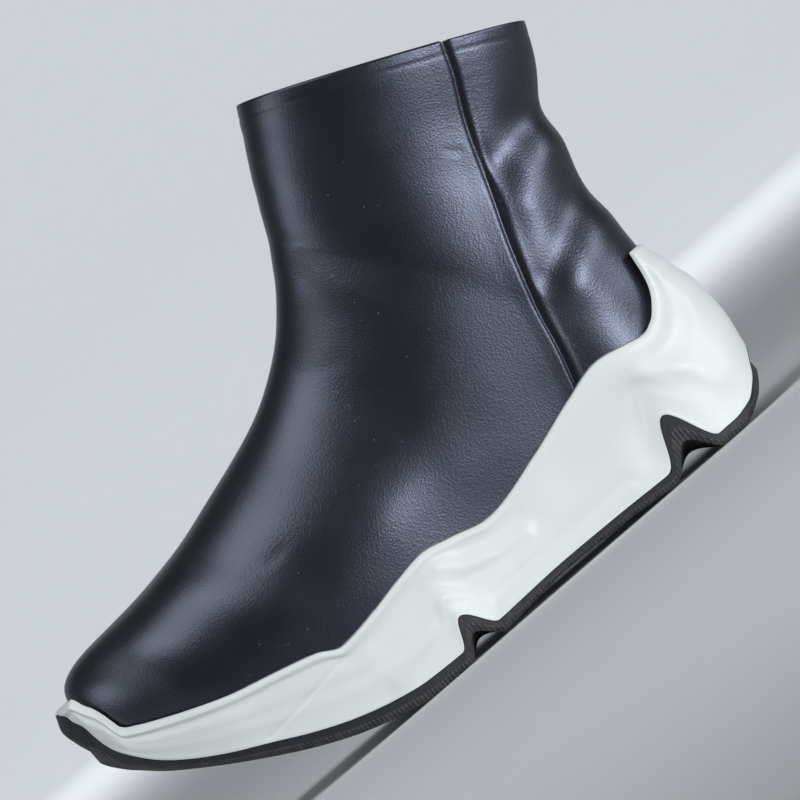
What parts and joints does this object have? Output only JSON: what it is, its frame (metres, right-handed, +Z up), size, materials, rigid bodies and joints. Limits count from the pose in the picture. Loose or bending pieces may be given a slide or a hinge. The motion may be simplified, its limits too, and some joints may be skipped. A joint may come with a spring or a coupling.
{
  "type": "high sock sneaker",
  "caption": "Left high-top sock sneaker: hollow leather upper open at a sloping collar, on a thick sculpted foam midsole cut into pods with a thin rubber outsole and an insole.",
  "frame": {"origin": "centre of the overall box on the floor that the sole stands on", "axes": "+Z up from the floor, +X from toe to heel, -Y the outer side of a left shoe"},
  "size_m": [0.2893, 0.1029, 0.2027],
  "materials": {
    "upper_leather": "smooth black calf leather with a soft sheen",
    "midsole_foam": "painted moulded foam, cool white, satin",
    "outsole_rubber": "moulded black rubber, matt",
    "insole_sock": "dark sock cloth over thin foam"
  },
  "bodies": {
    "root": {"upper": "upper_leather", "midsole": "midsole_foam", "outsole": "outsole_rubber", "insole": "insole_sock"}
  },
  "joints": []
}
